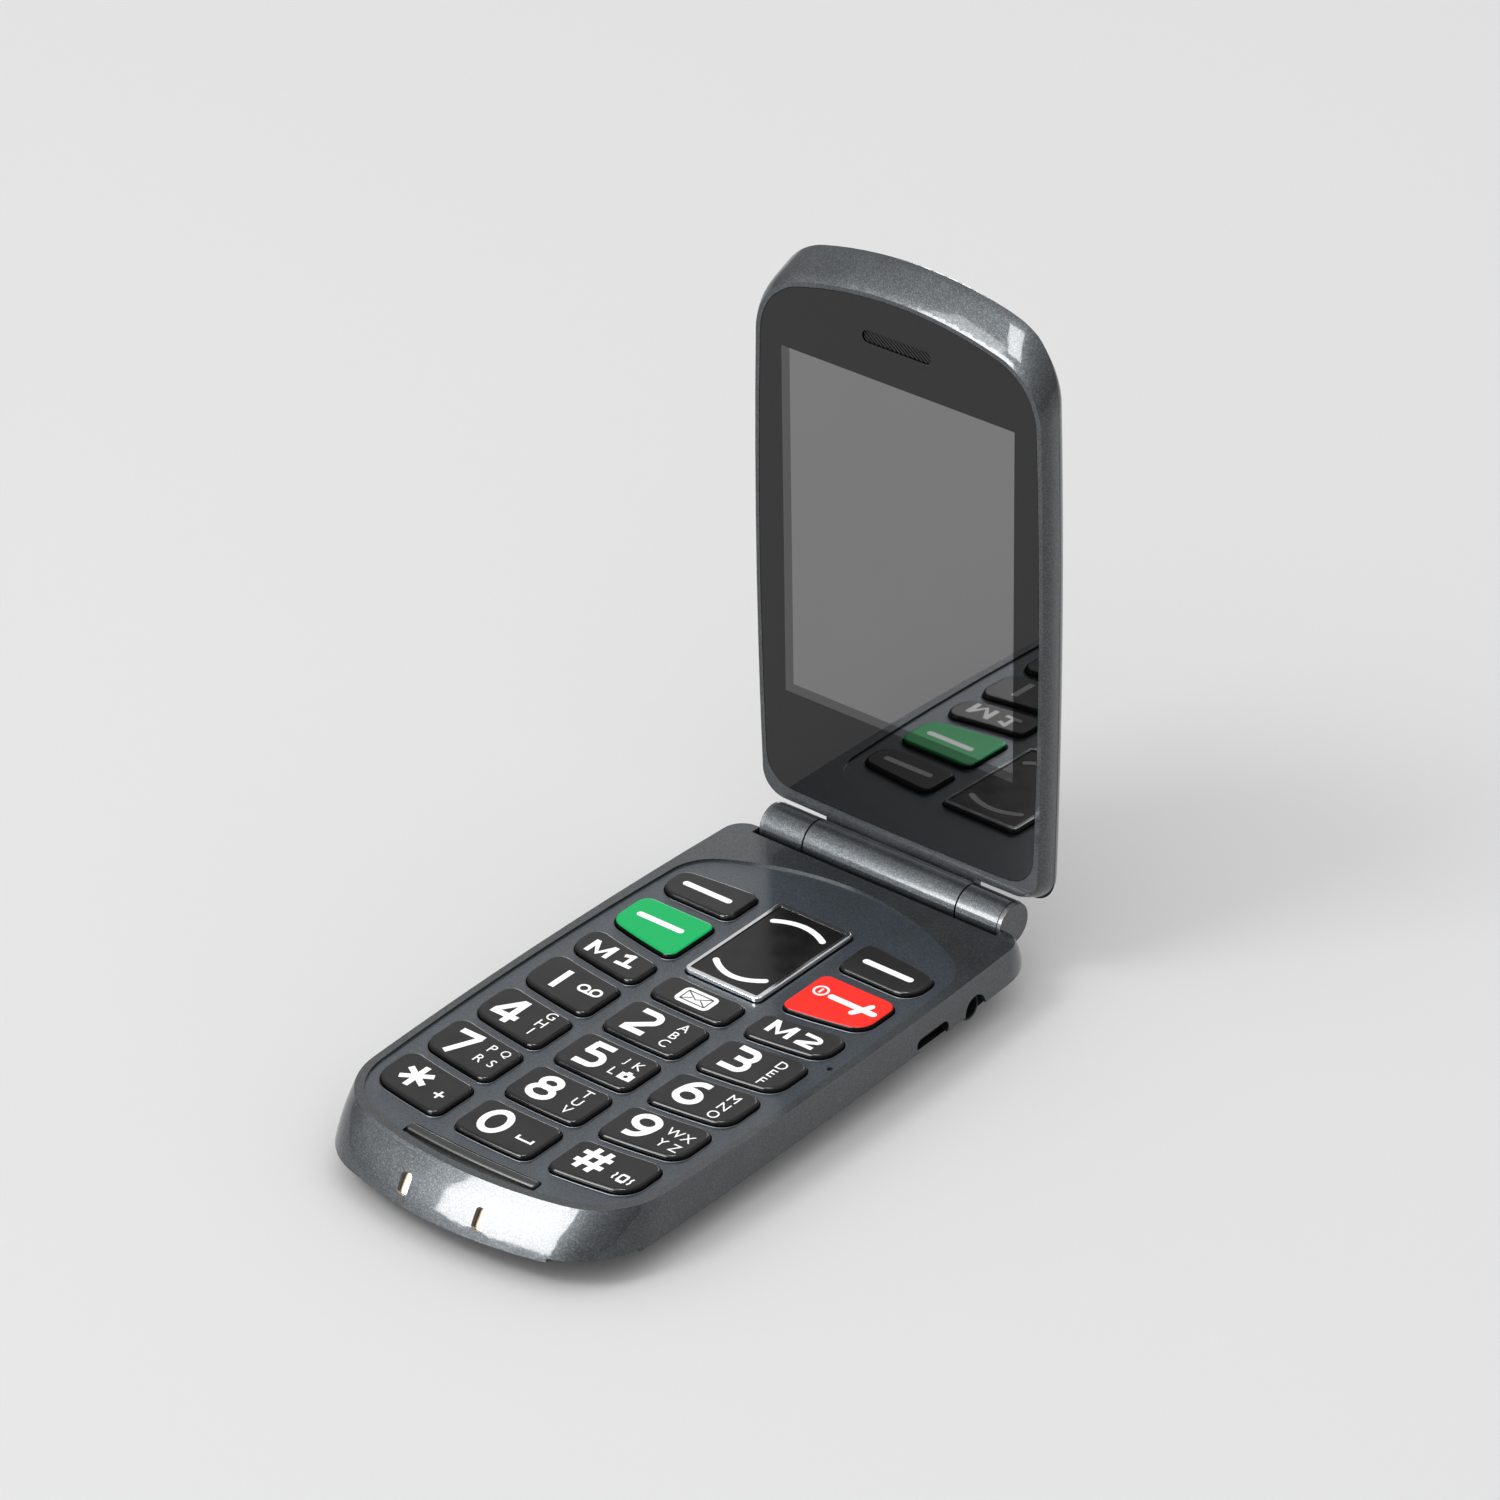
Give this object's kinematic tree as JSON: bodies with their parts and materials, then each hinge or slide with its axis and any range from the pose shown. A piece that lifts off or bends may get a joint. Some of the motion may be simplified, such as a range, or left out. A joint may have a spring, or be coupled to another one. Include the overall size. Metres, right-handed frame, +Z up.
{
  "type": "folding mobile phone",
  "caption": "Folding big-button mobile phone, open, with a curved keypad, rocker key, glossy display lid and a flat removable back.",
  "frame": {"origin": "middle of the flat back that the phone rests on", "axes": "+Z up out of the keypad, +Y towards the hinge, +X to the user's right"},
  "size_m": [0.0577, 0.1146, 0.1085],
  "materials": {
    "gunmetal_paint": "metallic paint on moulded plastic, fine silver flake, satin",
    "black_plastic": "fine matt texture",
    "black_rubber": "smooth soft rubber",
    "key_black": "soft-touch black keys with white marks",
    "key_green": "green key face with a white mark",
    "key_red": "red key face with a white mark",
    "bright_chrome": "bright plated frame",
    "window_glass": "glossy front window",
    "camera_glass": "glossy lens window",
    "display": "display, switched off",
    "gilt": "gold-plated spring contact",
    "socket_steel": "dark steel shell",
    "screw_steel": "plain steel",
    "brass_bush": "turned brass",
    "dark_metal": "black-coated metal",
    "battery_wrap": "grey wrap without lettering",
    "circuit_board": "solder-masked board",
    "mat_rubber": "translucent silicone",
    "cable_film": "polyimide film"
  },
  "bodies": {
    "base": {"upper_casing": "gunmetal_paint", "rear_housing": "black_plastic", "battery": "battery_wrap", "battery_contacts": "gilt", "base_screws": "screw_steel", "main_board": "circuit_board", "key_domes": "screw_steel", "keypad_mat": "mat_rubber", "lid_rest_pad": "black_rubber", "charging_contacts": "gilt", "usb_socket": "socket_steel", "audio_socket": "black_plastic", "loudspeaker": "dark_metal", "vibration_motor": "screw_steel", "sim_holder": "screw_steel", "microphone": "screw_steel", "hinge_cap_left": "gunmetal_paint", "hinge_cap_right": "gunmetal_paint", "hinge_cartridge": "screw_steel", "hinge_bush": "brass_bush"},
    "cover": {"battery_cover": "black_plastic", "speaker_mesh": "dark_metal"},
    "lid": {"lid_front_frame": "gunmetal_paint", "lid_window": "window_glass", "lcd_panel": "display", "lcd_tray": "screw_steel", "earpiece_mesh": "dark_metal", "earpiece_receiver": "dark_metal", "lid_board": "circuit_board", "display_flex": "cable_film", "closing_magnet": "dark_metal", "camera_module": "black_plastic", "camera_window": "camera_glass", "lid_back_cover": "gunmetal_paint", "lid_screws": "screw_steel"},
    "nav": {"nav_ring": "bright_chrome", "nav_key": "key_black"},
    "volume": {"volume_key": "gunmetal_paint"},
    "key_star": {"key_star": "key_black"},
    "key_0": {"key_0": "key_black"},
    "key_hash": {"key_hash": "key_black"},
    "key_7": {"key_7": "key_black"},
    "key_8": {"key_8": "key_black"},
    "key_9": {"key_9": "key_black"},
    "key_4": {"key_4": "key_black"},
    "key_5": {"key_5": "key_black"},
    "key_6": {"key_6": "key_black"},
    "key_1": {"key_1": "key_black"},
    "key_2": {"key_2": "key_black"},
    "key_3": {"key_3": "key_black"},
    "key_m1": {"key_m1": "key_black"},
    "key_mail": {"key_mail": "key_black"},
    "key_m2": {"key_m2": "key_black"},
    "key_call": {"key_call": "key_green"},
    "key_end": {"key_end": "key_red"},
    "key_soft_left": {"key_soft_left": "key_black"},
    "key_soft_right": {"key_soft_right": "key_black"}
  },
  "joints": [
    {"name": "lid_hinge", "type": "hinge", "parent": "base", "child": "lid", "pos_m": [0, 0.0498, 0.01044], "axis": [1, 0, 0], "range_deg": [-61, 91.7]},
    {"name": "nav_rock", "type": "hinge", "parent": "base", "child": "nav", "pos_m": [0, 0.02145, 0.00941], "axis": [1, 0, 0], "range_deg": [-1.6, 1.6], "stiffness_Nm_per_rad": 0.4},
    {"name": "volume_rock", "type": "hinge", "parent": "base", "child": "volume", "pos_m": [-0.0273, 0.012, 0.0081], "axis": [0, 0, 1], "range_deg": [-1.2, 1.2], "stiffness_Nm_per_rad": 0.3},
    {"name": "battery_cover_release", "type": "slide", "parent": "base", "child": "cover", "axis": [0, 0, -1], "range_m": [0, 0.016]},
    {"name": "key_star_press", "type": "slide", "parent": "base", "child": "key_star", "axis": [0, 0, -1], "range_m": [0, 0.0004], "stiffness_N_per_m": 2500},
    {"name": "key_0_press", "type": "slide", "parent": "base", "child": "key_0", "axis": [0, 0, -1], "range_m": [0, 0.0004], "stiffness_N_per_m": 2500},
    {"name": "key_hash_press", "type": "slide", "parent": "base", "child": "key_hash", "axis": [0, 0, -1], "range_m": [0, 0.0004], "stiffness_N_per_m": 2500},
    {"name": "key_7_press", "type": "slide", "parent": "base", "child": "key_7", "axis": [0, 0, -1], "range_m": [0, 0.0004], "stiffness_N_per_m": 2500},
    {"name": "key_8_press", "type": "slide", "parent": "base", "child": "key_8", "axis": [0, 0, -1], "range_m": [0, 0.0004], "stiffness_N_per_m": 2500},
    {"name": "key_9_press", "type": "slide", "parent": "base", "child": "key_9", "axis": [0, 0, -1], "range_m": [0, 0.0004], "stiffness_N_per_m": 2500},
    {"name": "key_4_press", "type": "slide", "parent": "base", "child": "key_4", "axis": [0, 0, -1], "range_m": [0, 0.0004], "stiffness_N_per_m": 2500},
    {"name": "key_5_press", "type": "slide", "parent": "base", "child": "key_5", "axis": [0, 0, -1], "range_m": [0, 0.0004], "stiffness_N_per_m": 2500},
    {"name": "key_6_press", "type": "slide", "parent": "base", "child": "key_6", "axis": [0, 0, -1], "range_m": [0, 0.0004], "stiffness_N_per_m": 2500},
    {"name": "key_1_press", "type": "slide", "parent": "base", "child": "key_1", "axis": [0, 0, -1], "range_m": [0, 0.0004], "stiffness_N_per_m": 2500},
    {"name": "key_2_press", "type": "slide", "parent": "base", "child": "key_2", "axis": [0, 0, -1], "range_m": [0, 0.0004], "stiffness_N_per_m": 2500},
    {"name": "key_3_press", "type": "slide", "parent": "base", "child": "key_3", "axis": [0, 0, -1], "range_m": [0, 0.0004], "stiffness_N_per_m": 2500},
    {"name": "key_m1_press", "type": "slide", "parent": "base", "child": "key_m1", "axis": [0, 0, -1], "range_m": [0, 0.0004], "stiffness_N_per_m": 2500},
    {"name": "key_mail_press", "type": "slide", "parent": "base", "child": "key_mail", "axis": [0, 0, -1], "range_m": [0, 0.0004], "stiffness_N_per_m": 2500},
    {"name": "key_m2_press", "type": "slide", "parent": "base", "child": "key_m2", "axis": [0, 0, -1], "range_m": [0, 0.0004], "stiffness_N_per_m": 2500},
    {"name": "key_call_press", "type": "slide", "parent": "base", "child": "key_call", "axis": [0, 0, -1], "range_m": [0, 0.0004], "stiffness_N_per_m": 2500},
    {"name": "key_end_press", "type": "slide", "parent": "base", "child": "key_end", "axis": [0, 0, -1], "range_m": [0, 0.0004], "stiffness_N_per_m": 2500},
    {"name": "key_soft_left_press", "type": "slide", "parent": "base", "child": "key_soft_left", "axis": [0, 0, -1], "range_m": [0, 0.0004], "stiffness_N_per_m": 2500},
    {"name": "key_soft_right_press", "type": "slide", "parent": "base", "child": "key_soft_right", "axis": [0, 0, -1], "range_m": [0, 0.0004], "stiffness_N_per_m": 2500}
  ]
}
